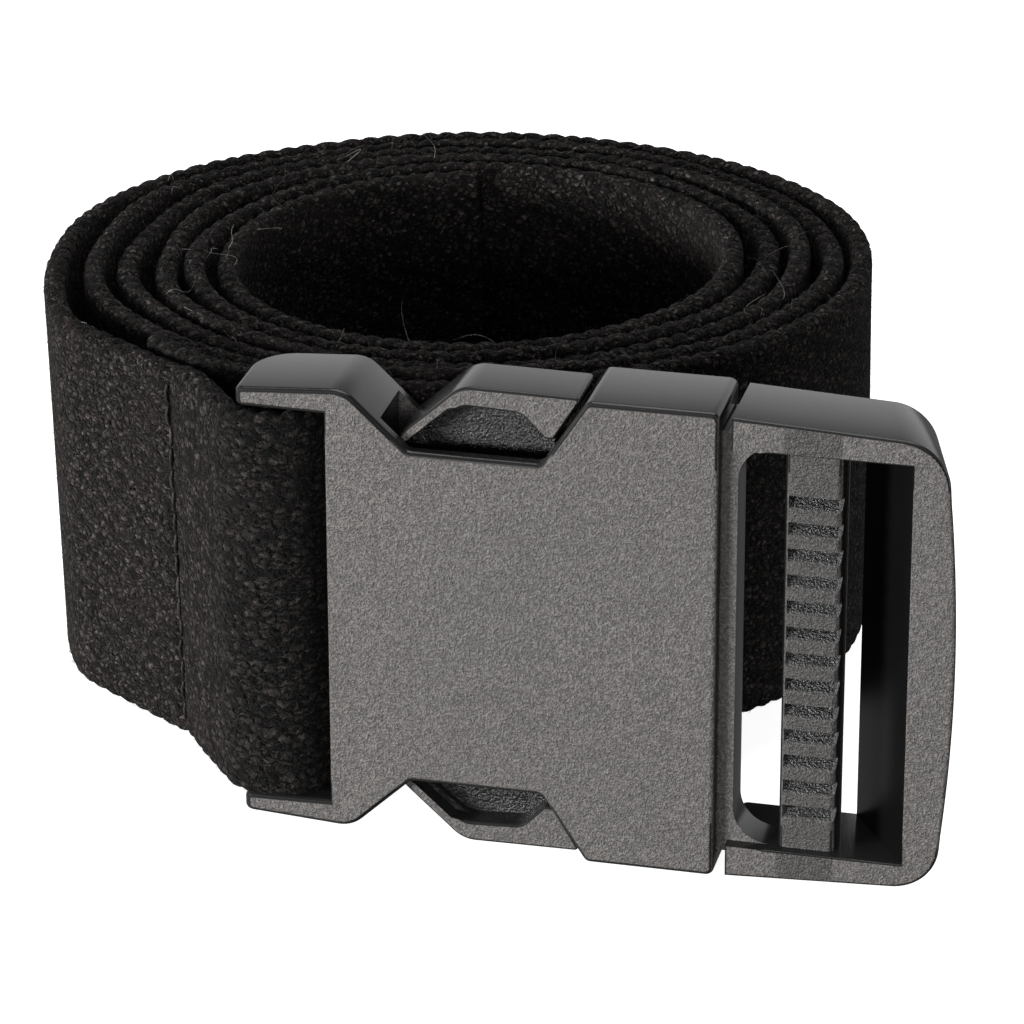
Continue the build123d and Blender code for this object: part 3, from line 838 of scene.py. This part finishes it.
# ------------------------------------------------------------------ studio
FLOOR_HALF, FLOOR_Z = 6, -0.0002
CORNERS = ((-1, -1), (1, -1), (1, 1), (-1, 1))
floor_corners = [(x * FLOOR_HALF, y * FLOOR_HALF, 0) for x, y in CORNERS]
floor_mesh = bpy.data.meshes.new("floor")
floor_mesh.from_pydata(floor_corners, [], [(0, 1, 2, 3)])
floor = place("floor", floor_mesh)
floor.location.z = FLOOR_Z
n = look("floor")
paper = n.noise(n.add("TexCoord").outputs["Object"], 6.0, 2.0)
floor_look = n.surface(
    n.add(
        "BsdfPrincipled",
        {
            "Base Color": n.mix(paper, (0.90, 0.90, 0.90, 1), (0.93, 0.93, 0.93, 1)),
            "Roughness": 0.9,
            "Emission Color": (1, 1, 1, 1),
            "Emission Strength": 0.9,
        },
    )
)
wear(floor, floor_look)
floor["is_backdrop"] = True
# the floor neither lights the object from below nor shows in its polished sides
floor.visible_diffuse = False
floor.visible_glossy = False


def area_light(name, position, target, size, power):
    light = bpy.data.lights.new(name, "AREA")
    light.shape = "RECTANGLE"
    light.size, light.size_y = size
    light.energy = power
    obj = place(name, light)
    obj.location = position
    direction = Vector(target) - Vector(position)
    obj.rotation_euler = direction.to_track_quat("-Z", "Y").to_euler()


area_light("key", (-0.92, -0.92, 0.11), (0, -0.03, 0.03), (0.5, 0.17), 27)
area_light("front", (0.1, -1.25, 0.22), (0, -0.05, 0.03), (0.5, 0.3), 5.5)
area_light("top", (0.05, 0.10, 1.1), (0, 0, 0.03), (0.8, 0.8), 5)
area_light("side", (1.1, -0.6, 0.14), (0.03, -0.04, 0.03), (0.4, 0.2), 1.3)

# the room is bright overhead to the rear, and dark in front, at the zenith and below
world = bpy.data.worlds.new("studio")
n = Nodes(world, "OutputWorld")
room = n.add("SeparateXYZ", {0: n.add("TexCoord").outputs["Generated"]}).outputs
zenith = n.ramp(room[2], 0.45, 0.75, 0.9, 0.06)
rear = n.ramp(room[1], 0.0, 0.55, 0.15, 1.0)
below = n.ramp(room[2], -0.05, 0.0, 0.16, 1.0)
glow = n.math("MULTIPLY", n.math("MULTIPLY", zenith, rear), below)
n.surface(n.add("Background", {"Color": glow, "Strength": 1.0}))
bpy.context.scene.world = world
bpy.context.scene.view_settings.view_transform = "Standard"

# ------------------------------------------------------------------ camera
SENSOR = 36
LENS = 182.8125
AZIMUTH, ELEVATION, ROLL = math.radians(13.56), math.radians(24.08), math.radians(-0.147)
DISTANCE = 0.62284
LOOK_AT = (23.26, 0, 15.65)
target = Vector(to_frame(LOOK_AT))
back = Vector(
    (
        math.sin(AZIMUTH) * math.cos(ELEVATION),
        -math.cos(AZIMUTH) * math.cos(ELEVATION),
        math.sin(ELEVATION),
    )
)
right = (-back).cross(Vector((0, 0, 1))).normalized()
upward = right.cross(-back)
c, s = math.cos(ROLL), math.sin(ROLL)
right, upward = c * right + s * upward, -s * right + c * upward
camera_data = bpy.data.cameras.new("camera")
camera_data.sensor_width = SENSOR
camera_data.lens = LENS
camera_data.clip_start, camera_data.clip_end = 0.05, 20
camera = place("camera", camera_data)
turn = Matrix((right, upward, back)).transposed().to_4x4()
camera.matrix_world = Matrix.Translation(target + back * DISTANCE) @ turn
bpy.context.scene.camera = camera

low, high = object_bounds()
